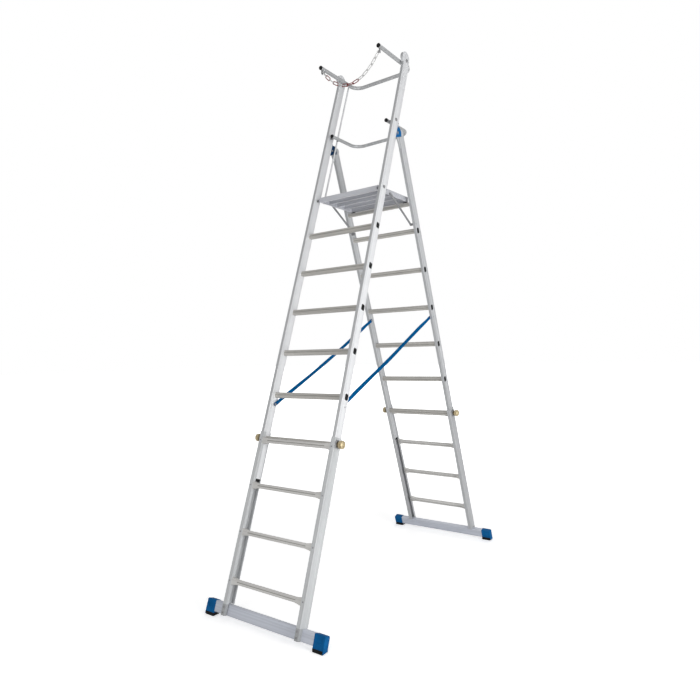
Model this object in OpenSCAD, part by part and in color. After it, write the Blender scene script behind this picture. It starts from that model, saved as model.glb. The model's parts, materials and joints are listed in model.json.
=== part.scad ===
// Telescopic platform ladder: two hinged legs, sliding lower sections, folding deck and guard rails.
// X runs across, Y from the climbing side to the back, Z up; the origin is on the floor at mid-stance.

/* [Stance] */
// Angle between the two legs when the ladder stands open
open_angle = 38.5; // [35:0.5:41]
// Width over the outer faces of the upper stiles
frame_w = 610; // [606:1:640]

/* [Upper sections] */
// Depth of an upper stile
stile_d = 66.5; // [63:0.5:72]
// Width of an upper stile
stile_w = 22; // [20:0.5:25]
// Wall of an upper stile
stile_wall = 2.5; // [2:0.1:3]
// Front rounding of the front stile tops as a share of the stile depth
top_round_share = 0.22; // [0.1:0.01:0.3]
// Rear rounding of the front stile tops as a share of the stile depth
back_round_share = 0.7; // [0.5:0.01:0.7]
// Length of the front stiles above the top rail pivot
front_over = 62; // [36:1:80]
// Length of the front stiles below their lowest rung
front_tail = 263.5; // [220:0.5:300]
// Length of the rear stiles below their lowest rung
rear_tail = 268; // [230:0.5:300]
// Distance from the hinge axis down to the upper ends of the rear stiles
rear_below = 31; // [24:0.5:36]
// Spacing of the rungs
rung_pitch = 300; // [296:1:304]
// Distance from the apex to the highest front rung
front_rung_l = 901.5; // [890:0.5:912]
// Distance from the apex to the highest rear rung
rear_rung_l = 842; // [832:0.5:852]
// Number of rungs in an upper section
rung_count = 6; // [6:1:6]
// Height of an upper rung
rung_h = 36; // [32:0.5:40]
// Depth of an upper rung
rung_d = 28; // [24:0.5:30]
// Wall of an upper rung
rung_wall = 2; // [1.5:0.1:2.5]
// Corner radius of an upper rung
rung_round = 7; // [5:0.5:9]
// Inward set of the upper rungs from the middle of the stile
rung_in = 10; // [9:0.5:12]
// Number of grip grooves on a rung
grip_count = 3; // [2:1:4]
// Spacing of the grip grooves
grip_pitch = 4; // [3:0.1:4.5]
// Width of a grip groove
grip_w = 1.6; // [1:0.1:2]
// Depth of a grip groove
grip_deep = 0.8; // [0.5:0.1:1.2]
// Width of the groove along the sides of a rung
side_w = 4; // [2:0.5:6]
// Depth of the groove along the sides of a rung
side_deep = 1; // [0.6:0.1:1.2]
// Length of a rung end plug
rung_plug = 24; // [16:1:40]
// Rim of a rung end plug around the rung
plug_rim = 2.5; // [1.5:0.1:3.5]
// Thickness of a rung end plug outside the rung
plug_face = 1.2; // [0.8:0.1:1.6]
// Length of a stile end plug inside the stile
plug_in = 10; // [8:1:50]
// Length of a stile end plug below the stile
plug_out = 17; // [8:1:20]
// Width of a groove along a stile
groove_w = 2; // [1:0.1:3]
// Depth of a groove along a stile
groove_deep = 0.6; // [0.3:0.1:0.9]
// Places of the grooves on an upper stile as shares of its depth
groove_shares = [0.2, 0.8]; // [0.1:0.05:0.9]
// Places of the grooves on a lower stile as shares of its depth
low_groove_shares = [0.2, 0.4, 0.6, 0.8]; // [0.1:0.05:0.9]

/* [Lower sections] */
// Wall of a lower stile
low_wall = 2.5; // [2:0.1:3]
// Return lip of a lower stile on the rung side
lip_outer = 20; // [16:0.5:22]
// Return lip of a lower stile on the far side
lip_inner = 5; // [4:0.5:7]
// Height of a lower stile above its highest rung
low_lead = 58; // [52:1:72]
// Spacing of the lower rungs
low_pitch = 291.5; // [288:0.5:300]
// Drop from the lowest front rung to the highest front lower rung
front_low_step = 15.5; // [6:0.5:24]
// Drop from the lowest rear rung to the highest rear lower rung
rear_low_step = 23; // [16:0.5:30]
// Distance from the lowest front lower rung down to the floor along the leg
foot_run = 228.5; // [180:0.5:260]
// Number of rungs in a lower section
low_rung_count = 4; // [4:1:4]
// Height of a lower rung
low_rung_h = 31; // [28:0.5:34]
// Depth of a lower rung
low_rung_d = 24; // [20:0.5:25]
// Corner radius of a lower rung
low_rung_round = 6; // [4:0.5:8]
// Outward set of the lower rungs from the middle of the stile
low_rung_out = 20; // [19:0.5:20.5]
// Height of the flared end of a lower rung
flare_h = 46; // [38:1:54]
// Length of the flared end of a lower rung
flare_len = 44; // [30:1:60]
// Radius of a rivet head
rivet_r = 5; // [4:0.5:6]
// Height of a rivet head
rivet_h = 2.2; // [1.5:0.1:3]
// Width of a rivet head top as a share of its foot
rivet_top_share = 0.6; // [0.4:0.05:0.8]

/* [Feet] */
// Height of a traverse
trav_h = 66; // [60:1:72]
// Depth of a traverse
trav_d = 38; // [34:0.5:42]
// Distance from the front flange of a lower stile to a traverse
trav_in = 25; // [20:0.5:27]
// Length of a traverse outside the lower stiles
trav_out = 86.1; // [70:0.1:110]
// Wall of a traverse
trav_wall = 3; // [2.5:0.1:4]
// Corner radius of a traverse
trav_round = 5; // [4:0.5:7]
// Distance from the floor to the middle of a traverse along the leg
trav_lift = 60; // [56:1:66]
// Length of a shoe beyond the traverse
shoe_len = 75; // [66:1:100]
// Wall of a shoe around the traverse
shoe_wall = 1; // [0.5:0.5:4]
// Height of a shoe above the traverse
shoe_rise = 1; // [0.5:0.5:8]
// Thickness of the outer wall of a shoe beside the sole
shoe_skirt = 4; // [3:0.5:6]
// Height of the outer wall of a shoe above the floor
skirt_lift = 5; // [3:0.5:8]
// Corner radius of a shoe
shoe_round = 8; // [5:0.5:14]
// Length of the shoe spigot inside the traverse
spigot_len = 46; // [30:1:70]
// Half length of the dent in the front of a shoe
dent_x = 24; // [18:1:28]
// Half height of the dent in the front of a shoe
dent_z = 12; // [8:0.5:16]
// Depth of the dent in the front of a shoe
dent_deep = 3; // [2:0.5:5]
// Thickness of a rubber sole
sole_t = 20; // [14:0.5:21]
// Distance a sole stands out at the front and back of its shoe
sole_over = 3; // [2:0.5:6]
// Number of tread grooves in a sole
tread_count = 4; // [2:1:5]
// Width of a tread groove
tread_w = 4; // [3:0.5:5]
// Depth of a tread groove
tread_deep = 4; // [2:0.5:5]
// Size over the flats of a bolt head
bolt_flat = 13; // [10:0.5:17]
// Height of a bolt head
bolt_h = 5; // [4:0.5:8]

/* [Locks] */
// Distance of a lock above the highest lower rung
lock_up = 18; // [14:0.5:22]
// Outward set of a lock from the middle of the stile
lock_out = 5; // [3:0.5:7]
// Width of a lock housing
housing_w = 40; // [34:1:46]
// Height of a lock housing along the stile
housing_h = 50; // [44:1:60]
// Thickness of a lock housing
housing_t = 8; // [6:0.5:10]
// Corner radius of a lock housing
housing_round = 8; // [5:0.5:12]
// Radius of a lock stem
stem_r = 6; // [5:0.5:8]
// Length of a lock knob
knob_len = 44; // [36:1:50]
// Largest radius of a lock knob
knob_r = 25; // [22:0.5:27]
// Neck radius of a lock knob as a share of the largest
knob_neck_share = 0.62; // [0.5:0.01:0.75]
// Neck length of a lock knob as a share of its length
knob_neck_len_share = 0.22; // [0.15:0.01:0.3]
// Taper length of a lock knob as a share of its length
knob_taper_share = 0.16; // [0.1:0.01:0.22]
// Number of finger flutes on a lock knob
flute_count = 10; // [6:1:14]
// Radius of a finger flute
flute_r = 4; // [3:0.5:5]
// Part of a flute radius that cuts into the knob
flute_cut_share = 0.45; // [0.2:0.05:0.6]

/* [Hinge] */
// Gap between the hinge eyes and the stiles
hinge_gap = 1.4; // [0.8:0.1:3]
// Radius of a hinge pin
hinge_pin_r = 5; // [4:0.5:6]
// Radius of the hinge cheeks and eyes
hinge_eye_r = 11.5; // [9:0.5:12]
// Thickness of a hinge cheek
cheek_w = 5; // [4:0.5:6]
// Thickness of a hinge base plate
hinge_base = 4; // [3:0.5:4.5]
// Length of a hinge block above its axis
hinge_up = 52; // [36:1:60]
// Length of a hinge block below its axis
hinge_down = 50; // [40:1:64]
// Radius of a hinge block about its axis
block_r = 52; // [44:0.5:56]
// Height of a hinge block above its axis, along the rear stile
block_up = 36; // [28:0.5:42]
// Radius of the round end of a rear stile
round_end_r = 24; // [20:0.5:27]
// Distance of the round end behind the hinge axis
round_end_out = 63; // [58:0.5:66]
// Height of the round end above the rear stile
round_end_up = 22; // [18:0.5:23]
// Length of a hinge tongue on the rear stile
tongue_len = 78; // [60:1:100]
// Height of a hinge pin head
hinge_head = 2.5; // [2:0.5:4]

/* [Deck] */
// Distance from the apex to the deck pivot along the front leg
deck_l = 608; // [600:1:616]
// Length of the deck beyond the middle of the rear leg
deck_over = 15.1; // [4:0.1:22]
// Distance from a stile to the side of the deck
deck_side = 29; // [27:0.5:32]
// Height of the deck
deck_h = 38; // [34:0.5:42]
// Height of the deck pivot above the underside of the deck
deck_under = 15; // [13.5:0.5:17]
// Thickness of a deck cheek
deck_cheek = 4; // [3:0.5:5]
// Number of deck planks
plank_count = 4; // [3:1:5]
// Gap between deck planks
plank_gap = 3; // [2:0.5:5]
// Depth of the deck planks below the top of the deck
plank_h = 30; // [26:0.5:33]
// Wall of a deck plank
plank_wall = 2; // [1.6:0.1:2.6]
// Number of ribs on a deck plank
rib_count = 12; // [8:1:14]
// Height of a plank rib
rib_h = 1.2; // [0.8:0.1:1.8]
// Width of a plank rib
rib_w = 3; // [2:0.1:3.6]
// Width of the feet under a deck plank
plank_foot = 6; // [4:0.5:9]
// Depth of the front and rear deck edges
edge_d = 14; // [10:0.5:18]
// Corner radius of the deck edges
edge_round = 5; // [3:0.5:6]

/* [Guard rails] */
// Distance of the top rail pivot above the apex along the front leg
top_l = 463; // [455:1:470]
// Distance from a stile to the middle of the top rail tube
top_side = 25; // [24.5:0.5:30]
// Radius of the top rail tube
top_r = 14; // [12:0.5:14.5]
// Length of the top rail in front of its pivot
top_front = 310; // [290:1:330]
// Length of the top rail behind its pivot
top_back = 152; // [148:1:165]
// Bend radius of the top rail
top_bend = 75; // [60:1:78]
// Distance of the knee rail pivot below the apex along the front leg
knee_l = 54.8; // [50:0.5:60]
// Distance from a stile to the middle of the knee rail tube
knee_side = 39; // [37:0.5:43]
// Radius of the knee rail tube
knee_r = 12.5; // [11:0.5:13]
// Length of the knee rail in front of its pivot
knee_front = 34; // [28:1:40]
// Length of the knee rail behind its pivot
knee_back = 288; // [270:1:300]
// Bend radius of the knee rail
knee_bend = 80; // [60:1:95]
// Wall of the rail tubes
tube_wall = 2; // [1.5:0.1:2.5]
// Length of a tube cap outside the tube
cap_out = 9; // [6:0.5:12]
// Length of a tube cap inside the tube
cap_in = 14; // [10:0.5:20]
// Rim of a tube cap around the tube
cap_rim = 1.2; // [0.8:0.1:2]
// Narrow end of a tube cap as a share of its rim
cap_end_share = 0.8; // [0.6:0.01:0.95]

/* [Pivots and links] */
// Radius of a pivot bolt
pin_r = 5; // [4:0.5:5.5]
// Radius of a pivot bolt head
pin_head_r = 10; // [8:0.5:12]
// Height of a pivot bolt head
pin_head_h = 5; // [3:0.5:6]
// Radius of a pivot spacer
spacer_r = 7.5; // [6.5:0.5:7.5]
// Distance of the link rod pivots behind the rail and deck pivots
rod_back = 72; // [70:0.5:78]
// Half width of a link rod
rod_half = 7; // [6:0.5:7]
// Thickness of a link rod
rod_t = 4; // [3:0.5:4.5]
// Gap between the top rail tube and a link rod
rod_gap = 1.8; // [1.2:0.1:2.4]
// Radius of a link stud
stud_r = 4; // [3:0.5:4.5]
// Radius of a link stud head
stud_head_r = 6.5; // [5.5:0.5:6.5]
// Height of a link stud head
stud_head_h = 2.5; // [1.5:0.5:3]
// Distance of the strut pivot behind the deck pivot
strut_back = 155.3; // [150:0.1:160]
// Distance of the strut pivot below the deck pivot
strut_low = 5; // [3:0.5:6]
// Distance of the strut pivot below the deck pivot, along the legs
strut_under = 182; // [178:1:188]
// Inward set of the strut pivot from the middle of the rear stile
strut_in = 22; // [20:0.5:24]
// Half width of a deck strut
strut_half = 9; // [8:0.5:10]
// Thickness of a deck strut
strut_t = 4; // [3:0.5:5]
// Distance from the side of the deck to a deck strut
strut_side = 4; // [3.5:0.1:6]
// Distance of the deck rest bar below the deck pivot, along the legs
rest_under = 32; // [24:1:36]
// Inward set of the rest bar from the middle of the rear stile
rest_in = 10; // [6:0.5:12]
// Height of the rest bar
rest_h = 26; // [22:0.5:30]
// Depth of the rest bar
rest_d = 26; // [22:0.5:28]
// Corner radius of the rest bar
rest_round = 5; // [3:0.5:6]
// Length of a rest pad
pad_len = 32; // [24:1:40]
// Thickness of a rest pad
pad_t = 6; // [4:0.5:8]

/* [Straps] */
// Front rung above the strap stud, counted from the top
strap_front_rung = 5; // [4:1:5]
// Rear rung above the strap stud, counted from the top
strap_rear_rung = 3; // [2:1:4]
// Distance of the front strap stud below its rung
strap_front_step = 63.5; // [50:0.5:80]
// Distance of the rear strap stud below its rung
strap_rear_step = 76; // [60:0.5:100]
// Inward set of the strap studs from the middle of the stiles
strap_in = 12; // [10:0.5:16]
// Distance from a stile to the inner face of a strap
strap_side = 7; // [6:0.5:8]
// Thickness of a strap
strap_t = 2; // [1.5:0.1:2.5]
// Half width of a strap
strap_half = 12.5; // [10:0.5:14]
// Radius of a strap stud
strap_stud_r = 5; // [4:0.5:6]
// Radius of a strap stud collar
strap_collar_r = 8.5; // [7.5:0.5:9.5]
// Thickness of a strap stud collar
strap_collar_t = 2.5; // [2:0.5:3.5]

/* [Chain] */
// Number of links in the chain
link_count = 13; // [13:2:13]
// Inner length of a link
link_in = 48; // [47.4:0.1:49]
// Play between two links
chain_play = 0.8; // [0.7:0.05:1]
// Inner width of a link
link_gap = 13; // [11:0.1:15]
// Wire radius of a link
wire_r = 3; // [2.6:0.1:3.4]
// Distance from the middle of the top rail tube to the end of the chain
chain_in = 10; // [9:0.5:12]
// Distance of the chain behind the front ends of the top rail
chain_back = 14; // [12:0.5:20]
// Height of the chain ends below the middle of the top rail
chain_drop = 32; // [28:0.5:36]
// Radius of a chain stud
hook_r = 3.2; // [2.8:0.1:3.4]
// Length of a chain stud
hook_len = 20; // [18:0.5:22]
// Radius of a chain stud head
hook_head_r = 4.4; // [4:0.1:4.6]
// Thickness of a chain lug and of a chain stud head
lug_t = 4; // [3:0.5:5]
// Half width of a chain lug
lug_half = 9; // [7:0.5:11]

/* [Clearances] */
// Clearance between sliding stiles
slide_gap = 0.4; // [0.3:0.05:0.6]
// Clearance between parts that pass each other
pass_gap = 0.4; // [0.3:0.05:0.6]
// Radial clearance of a turning pin
run_fit = 0.06; // [0.04:0.01:0.1]
// Overrun of cutting shapes
overrun = 2; // [1:0.5:3]

/* [Hidden] */
$fn = 48;
hex_sides = 6;
solve_steps = 40;

lean = open_angle / 2;
front_last = front_rung_l + (rung_count - 1) * rung_pitch;
rear_last = rear_rung_l + (rung_count - 1) * rung_pitch;
front_run = front_last + front_tail;
rear_run = rear_last + rear_tail;
front_rise = top_l + front_over;
front_low_first = front_last + front_low_step;
rear_low_first = rear_last + rear_low_step;
leg_len = front_low_first + (low_rung_count - 1) * low_pitch + foot_run;
apex_h = leg_len * cos(lean);
frame_x = frame_w / 2;
lip_x = frame_x - stile_w;
web_x = frame_x - stile_wall;
low_in_x = frame_x + slide_gap;
low_out_x = low_in_x + low_wall;
low_lip_x = lip_x - slide_gap - low_wall;
low_mid_x = (low_lip_x + low_out_x) / 2;
low_in_d = stile_d + 2 * slide_gap;
low_out_d = low_in_d + 2 * low_wall;
trav_x = low_out_x + trav_out;
trav_bottom = trav_lift - leg_len - trav_h / 2;
trav_top = trav_bottom + trav_h;
trav_y = (trav_d - low_in_d) / 2 + trav_in;
shoe_d = trav_d + 2 * shoe_wall;
sole_w = shoe_d / cos(lean) + 2 * sole_over;
sole_y = trav_y / cos(lean) - (apex_h - sole_t) * tan(lean);
hinge_in = stile_d / 2 + hinge_eye_r + hinge_gap;
hinge_l = hinge_in / tan(lean);
rear_start = hinge_l + rear_below;
tongue_x = lip_x + cheek_w + pass_gap;
tongue_w = stile_w - 2 * (cheek_w + pass_gap);
deck_x = lip_x - deck_side;
deck_len = 2 * deck_l * sin(lean) + deck_over;
deck_y = -deck_l * sin(lean);
deck_z = apex_h - deck_l * cos(lean);
top_x = lip_x - top_side;
top_y = top_l * sin(lean);
top_z = apex_h + top_l * cos(lean);
knee_x = lip_x - knee_side;
knee_y = -knee_l * sin(lean);
knee_z = apex_h - knee_l * cos(lean);
rod_x = top_x + top_r + rod_gap;
rod_len = deck_l + top_l;
plank_step = (deck_len - 2 * edge_d - plank_gap) / plank_count;
plank_w = plank_step - plank_gap;
strut_x = deck_x + strut_side;
strut_l = deck_l + strut_under;
strut_y = strut_l * sin(lean) - strut_in * cos(lean);
strut_z = apex_h - strut_l * cos(lean) - strut_in * sin(lean);
strut_dy = strut_y - deck_y - strut_back;
strut_dz = strut_z - deck_z + strut_low;
strut_len = norm([strut_dy, strut_dz]);
strut_turn = atan2(strut_dz, strut_dy);
rest_l = deck_l + rest_under;
rest_y = rest_l * sin(lean) - rest_in * cos(lean);
rest_top = deck_z - deck_under - pass_gap - pad_t;
strap_x = lip_x - strap_side;
strap_front_l = front_rung_l + (strap_front_rung - 1) * rung_pitch + strap_front_step;
strap_rear_l = rear_rung_l + (strap_rear_rung - 1) * rung_pitch + strap_rear_step;
strap_fy = -strap_front_l * sin(lean) + strap_in * cos(lean);
strap_fz = apex_h - strap_front_l * cos(lean) - strap_in * sin(lean);
strap_ry = strap_rear_l * sin(lean) - strap_in * cos(lean);
strap_rz = apex_h - strap_rear_l * cos(lean) - strap_in * sin(lean);
strap_len = norm([strap_ry - strap_fy, strap_rz - strap_fz]);
strap_turn = atan2(strap_rz - strap_fz, strap_ry - strap_fy);
chain_x = top_x - chain_in;
link_pitch = link_in - chain_play;
chain_half = link_count * link_pitch / 2;
link_arc_r = link_gap / 2 + wire_r;
link_bar = link_in - link_gap;
chain_y = -top_front + chain_back;
pale_links = [0, 2, 4, 8, 9, 10, 11, 12];
dark_links = [1, 3, 5, 6, 7];

// Catenary constant for the given half span and half length, by halving an interval
function asinh_of(u) = ln(u + sqrt(u * u + 1));
function span_of(a) = a * asinh_of(chain_half / a);
function solve_a(lo, hi, n) =
    n == 0 ? (lo + hi) / 2
           : span_of((lo + hi) / 2) < chain_x ? solve_a((lo + hi) / 2, hi, n - 1)
                                             : solve_a(lo, (lo + hi) / 2, n - 1);
chain_a = solve_a(chain_x / solve_steps, chain_x * solve_steps, solve_steps);
chain_top = sqrt(chain_a * chain_a + chain_half * chain_half);
function link_s(i) = (i + 1 / 2) * link_pitch - chain_half;
function link_x(i) = chain_a * asinh_of(link_s(i) / chain_a);
function link_z(i) = sqrt(chain_a * chain_a + pow(link_s(i), 2)) - chain_top - chain_drop;
function link_turn(i) = atan(link_s(i) / chain_a);
end_wire_z = link_z(0) - (link_in / 2 + wire_r) * sin(link_turn(0));
hook_z = end_wire_z - wire_r - hook_r - pass_gap;

// Placing helpers: a leg lies with its length along Z, its apex at zero and +Y toward the other leg
module in_leg(rear) {
    mirror([0, rear ? 1 : 0, 0])
        translate([0, 0, apex_h])
            rotate([-lean, 0, 0])
                children();
}

module on_side(side) {
    mirror([side < 0 ? 1 : 0, 0, 0])
        children();
}

module on_both() {
    for (side = [-1, 1])
        on_side(side)
            children();
}

// A plane shape drawn over Y and Z, drawn out along X
module x_prism(x0, x1) {
    translate([x0, 0, 0])
        rotate([90, 0, 90])
            linear_extrude(x1 - x0)
                children();
}

// A plane shape drawn over X and Z, drawn out along Y
module y_prism(y0, y1) {
    translate([0, y1, 0])
        rotate([90, 0, 0])
            linear_extrude(y1 - y0)
                children();
}

module x_rod(r, x0, x1) {
    translate([x0, 0, 0])
        rotate([0, 90, 0])
            cylinder(r = r, h = x1 - x0);
}

module round_box(w, h, r) {
    square([w - 2 * r, h], center = true);
    square([w, h - 2 * r], center = true);
    for (i = [-1, 1], j = [-1, 1])
        translate([i * (w / 2 - r), j * (h / 2 - r)])
            circle(r);
}

// Upper sections
module grooves(x, d, shares) {
    for (share = shares)
        translate([x - groove_deep, (share - 1 / 2) * d - groove_w / 2])
            square([groove_deep + overrun, groove_w]);
}

module stile_shape() {
    difference() {
        translate([lip_x, -stile_d / 2])
            square([stile_w, stile_d]);
        translate([lip_x + stile_wall, stile_wall - stile_d / 2])
            square([stile_w - 2 * stile_wall, stile_d - 2 * stile_wall]);
        grooves(frame_x, stile_d, groove_shares);
    }
}

// Side view of a front stile, drawn in by a wall for its inside
module top_outline(low, inset) {
    half = stile_d / 2 - inset;
    high = front_rise - inset;
    front_r = stile_d * top_round_share - inset;
    back_r = stile_d * back_round_share - inset;
    translate([-half, low])
        square([2 * half, high - low - back_r]);
    translate([-half, low])
        square([2 * half - back_r, high - low - front_r]);
    translate([front_r - half, low])
        square([2 * half - front_r - back_r, high - low]);
    translate([front_r - half, high - front_r])
        circle(front_r);
    translate([half - back_r, high - back_r])
        circle(back_r);
}

module rung_holes(first) {
    for (k = [0 : rung_count - 1])
        translate([0, rung_in, -first - k * rung_pitch]) {
            x_prism(lip_x - overrun, frame_x)
                round_box(rung_d, rung_h, rung_round);
            x_prism(frame_x - plug_face, frame_x + overrun)
                plug_flange();
        }
}

module plug_flange() {
    round_box(rung_d + 2 * plug_rim, rung_h + 2 * plug_rim, rung_round + plug_rim);
}

module stud_hole(l, inset, r) {
    translate([0, inset, -l])
        x_rod(r, lip_x - overrun, frame_x + overrun);
}

module front_stile(side) {
    color("silver")
        on_side(side)
            in_leg(false)
                difference() {
                    x_prism(lip_x, frame_x)
                        top_outline(-front_run, 0);
                    x_prism(lip_x + stile_wall, web_x)
                        top_outline(-front_run - overrun, stile_wall);
                    translate([0, 0, -front_run - overrun])
                        linear_extrude(front_run + front_rise + 2 * overrun)
                            grooves(frame_x, stile_d, groove_shares);
                    rung_holes(front_rung_l);
                    for (l = [-top_l, knee_l, deck_l])
                        stud_hole(l, 0, pin_r);
                    stud_hole(strap_front_l, strap_in, strap_stud_r);
                }
}

module rear_stile(side) {
    color("silver")
        on_side(side)
            in_leg(true)
                difference() {
                    translate([0, 0, -rear_run])
                        linear_extrude(rear_run - rear_start)
                            stile_shape();
                    rung_holes(rear_rung_l);
                    stud_hole(strap_rear_l, strap_in, strap_stud_r);
                    stud_hole(strut_l, strut_in, pin_r);
                }
}

module rung_bore() {
    round_box(rung_d - 2 * rung_wall, rung_h - 2 * rung_wall, rung_round - rung_wall);
}

module rung_shape() {
    difference() {
        round_box(rung_d, rung_h, rung_round);
        rung_bore();
        for (i = [0 : grip_count - 1])
            translate([(i - (grip_count - 1) / 2) * grip_pitch, rung_h / 2])
                square([grip_w, 2 * grip_deep], center = true);
        for (y = [-rung_d / 2, rung_d / 2])
            translate([y, 0])
                square([2 * side_deep, side_w], center = true);
    }
}

module upper_rungs(rear, first) {
    color("tan")
        in_leg(rear)
            for (k = [0 : rung_count - 1])
                translate([0, rung_in, -first - k * rung_pitch])
                    x_prism(plug_face - frame_x, frame_x - plug_face)
                        rung_shape();
}

module rung_plugs(rear, first) {
    color("dimgray")
        in_leg(rear)
            on_both()
                for (k = [0 : rung_count - 1])
                    translate([0, rung_in, -first - k * rung_pitch]) {
                        x_prism(frame_x - rung_plug, frame_x)
                            rung_bore();
                        x_prism(frame_x - plug_face, frame_x)
                            plug_flange();
                    }
}

module stile_plugs(rear, run) {
    color("dimgray")
        in_leg(rear)
            on_both() {
                translate([lip_x + stile_wall, stile_wall - stile_d / 2, -run])
                    cube([stile_w - 2 * stile_wall, stile_d - 2 * stile_wall, plug_in]);
                translate([lip_x, -stile_d / 2, -run - plug_out])
                    cube([stile_w, stile_d, plug_out]);
            }
}

// Hinge: blue blocks on the front stiles hold the pins, tongues on the rear stiles turn on them
module hinge_cheek() {
    intersection() {
        translate([hinge_in, -hinge_l])
            circle(block_r);
        translate([hinge_in, -hinge_l])
            rotate(open_angle)
                translate([-block_r, hinge_gap - rear_below])
                    square([2 * block_r, block_up + rear_below - hinge_gap]);
        translate([stile_d / 2, -hinge_l - block_r])
            square([2 * block_r, 2 * block_r]);
    }
}

module hinge_blocks() {
    color("royalblue")
        in_leg(false)
            on_both()
                difference() {
                    union() {
                        translate([lip_x, stile_d / 2, -hinge_l - hinge_down])
                            cube([stile_w, hinge_base, hinge_up + hinge_down]);
                        for (x = [lip_x, frame_x - cheek_w])
                            x_prism(x, x + cheek_w)
                                hinge_cheek();
                    }
                    translate([tongue_x - pass_gap, stile_d / 2, -hinge_l - hinge_down - overrun])
                        cube([tongue_w + 2 * pass_gap, hinge_in, hinge_down + 2 * hinge_eye_r]);
                    translate([0, hinge_in, -hinge_l])
                        x_rod(hinge_pin_r, lip_x - overrun, frame_x + overrun);
                }
}

module hinge_pin() {
    translate([0, hinge_in, -hinge_l]) {
        x_rod(hinge_pin_r, lip_x - hinge_head, frame_x + hinge_head);
        x_rod(hinge_eye_r * rivet_top_share, lip_x - hinge_head, lip_x);
        x_rod(hinge_eye_r * rivet_top_share, frame_x, frame_x + hinge_head);
    }
}

module round_end() {
    difference() {
        intersection() {
            translate([hinge_in - round_end_out, round_end_up - rear_start])
                circle(round_end_r);
            translate([hinge_in - 2 * round_end_out, -rear_start])
                square([2 * round_end_out, 2 * round_end_out]);
        }
        translate([hinge_in, -hinge_l])
            circle(block_r + hinge_gap);
    }
}

module tongue_outline() {
    difference() {
        union() {
            translate([hinge_in, -hinge_l])
                circle(hinge_eye_r);
            polygon([
                [hinge_in, hinge_eye_r - hinge_l],
                [hinge_in + hinge_eye_r, -hinge_l],
                [hinge_in + hinge_eye_r, -hinge_l - hinge_eye_r],
                [stile_d / 2 + hinge_base, -rear_start - tongue_len],
                [stile_d / 2, -rear_start - tongue_len],
                [stile_d / 2, -rear_start],
                [hinge_in - round_end_out, -rear_start],
                [hinge_in - round_end_out, hinge_eye_r - hinge_l]
            ]);
        }
        translate([hinge_in, -hinge_l])
            circle(hinge_pin_r + run_fit);
    }
}

module hinge_tongues() {
    color("lightgray")
        in_leg(true)
            on_both() {
                x_prism(tongue_x, tongue_x + tongue_w)
                    tongue_outline();
                x_prism(lip_x, frame_x)
                    round_end();
            }
}

// Pivot bolts of the hinge, the rails and the deck
module pivot_bolt(l, x_end) {
    translate([0, 0, -l]) {
        x_rod(pin_r, x_end, frame_x);
        x_rod(pin_head_r, frame_x, frame_x + pin_head_h);
    }
}

module pivot_bolts() {
    color("gray")
        in_leg(false)
            on_both() {
                pivot_bolt(-top_l, top_x - top_r);
                pivot_bolt(knee_l, knee_x - knee_r);
                pivot_bolt(deck_l, deck_x - deck_cheek + pass_gap);
                hinge_pin();
            }
}

module pivot_spacer(l, x_end) {
    translate([0, 0, -l])
        difference() {
            x_rod(spacer_r, x_end, lip_x);
            x_rod(pin_r, x_end - overrun, lip_x + overrun);
        }
}

module pivot_spacers() {
    color("dimgray")
        in_leg(false)
            on_both() {
                pivot_spacer(-top_l, top_x + top_r + pass_gap);
                pivot_spacer(knee_l, knee_x + knee_r + pass_gap);
                pivot_spacer(deck_l, deck_x + pass_gap);
            }
}

// Straps and their studs
module strap_stud(l) {
    translate([0, strap_in, -l]) {
        x_rod(strap_stud_r, strap_x - strap_collar_t, frame_x);
        x_rod(strap_collar_r, strap_x - strap_collar_t, strap_x);
        x_rod(strap_collar_r, strap_x + strap_t, strap_x + strap_t + strap_collar_t);
    }
}

module front_strap_studs() {
    color("gray")
        in_leg(false)
            on_both()
                strap_stud(strap_front_l);
}

module rear_studs() {
    color("gray")
        in_leg(true)
            on_both() {
                translate([0, strap_in, -strap_rear_l]) {
                    x_rod(strap_stud_r, strap_x - strap_collar_t - pass_gap, frame_x);
                    x_rod(strap_collar_r, strap_x - strap_collar_t - pass_gap, strap_x - pass_gap);
                    x_rod(strap_collar_r, strap_x + strap_t + pass_gap, lip_x);
                }
                translate([0, strut_in, -strut_l]) {
                    x_rod(pin_r, strut_x - pass_gap, frame_x);
                    x_rod(strut_half, strut_x - pass_gap - stud_head_h, strut_x - pass_gap);
                    x_rod(strut_half, strut_x + strut_t + pass_gap, lip_x);
                }
            }
}

module strap(side) {
    color("royalblue")
        on_side(side)
            x_prism(strap_x, strap_x + strap_t)
                translate([strap_fy, strap_fz])
                    rotate(strap_turn)
                        difference() {
                            union() {
                                translate([0, -strap_half])
                                    square([strap_len, 2 * strap_half]);
                                for (x = [0, strap_len])
                                    translate([x, 0])
                                        circle(strap_half);
                            }
                            circle(strap_stud_r);
                            translate([strap_len, 0])
                                circle(strap_stud_r + pass_gap);
                        }
}

// Lower sections
module low_shape() {
    difference() {
        translate([low_lip_x, -low_out_d / 2])
            square([low_out_x - low_lip_x, low_out_d]);
        translate([lip_x - slide_gap, -low_in_d / 2])
            square([low_in_x - lip_x + slide_gap, low_in_d]);
        translate([low_lip_x - overrun, lip_outer - low_in_d / 2])
            square([low_wall + 2 * overrun, low_in_d - lip_outer - lip_inner]);
        grooves(low_out_x, low_out_d, low_groove_shares);
    }
}

module outer_stile(side, rear, first) {
    color("silver")
        on_side(side)
            in_leg(rear)
                difference() {
                    translate([0, 0, trav_bottom])
                        linear_extrude(low_lead - first - trav_bottom)
                            low_shape();
                    translate([low_lip_x - overrun, trav_y - trav_d / 2, trav_bottom - overrun])
                        cube([low_out_x - low_lip_x + 2 * overrun, low_out_d, trav_h + overrun]);
                    translate([0, -lock_out, lock_up - first])
                        x_rod(stem_r + run_fit, frame_x, low_out_x + overrun);
                }
}

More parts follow.
